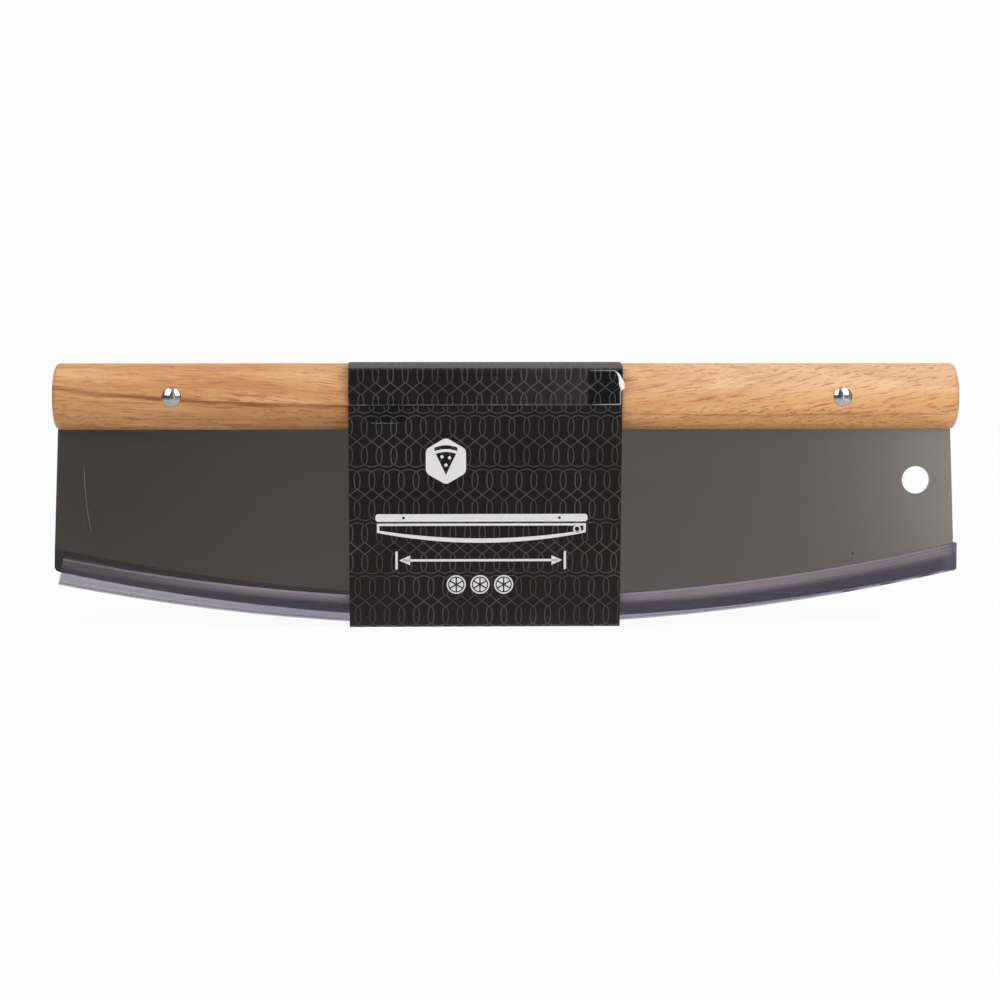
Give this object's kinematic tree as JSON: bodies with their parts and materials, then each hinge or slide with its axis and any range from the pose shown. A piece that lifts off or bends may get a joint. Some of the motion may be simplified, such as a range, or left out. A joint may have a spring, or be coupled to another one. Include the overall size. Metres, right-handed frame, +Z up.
{
  "type": "rocking pizza knife",
  "caption": "Long curved steel blade hung from a round wooden handle, with a clip-on plastic edge guard and a slide-off card sleeve.",
  "frame": {"origin": "the middle of the round handle's axis", "axes": "+X along the handle, the sleeve's flap and the pin heads face -Y, +Z up with the cutting edge down"},
  "size_m": [0.35, 0.0318, 0.1025],
  "materials": {
    "oiled_wood": "sanded and oiled, satin",
    "blade_steel": "brushed along its length",
    "rivet_metal": "polished dome",
    "guard_plastic": "clear with a grey violet tint, glossy",
    "printed_card": "black print with a fine grey net, satin",
    "clear_tape": "clear film, glossy"
  },
  "bodies": {
    "knife": {"handle": "oiled_wood", "blade": "blade_steel", "left_rivet_socket": "rivet_metal", "left_rivet_pin": "rivet_metal", "right_rivet_socket": "rivet_metal", "right_rivet_pin": "rivet_metal"},
    "guard": {"edge_guard": "guard_plastic"},
    "sleeve": {"card_sleeve": "printed_card", "left_tape": "clear_tape", "right_tape": "clear_tape"}
  },
  "joints": [
    {"name": "guard_slide", "type": "hinge", "parent": "knife", "child": "guard", "pos_m": [-0.01, 0, 0.74128], "axis": [0, -1, 0], "range_deg": [-24.6, 24.6]},
    {"name": "sleeve_slide", "type": "slide", "parent": "knife", "child": "sleeve", "axis": [1, 0, 0], "range_m": [-0.221, 0.238]}
  ]
}
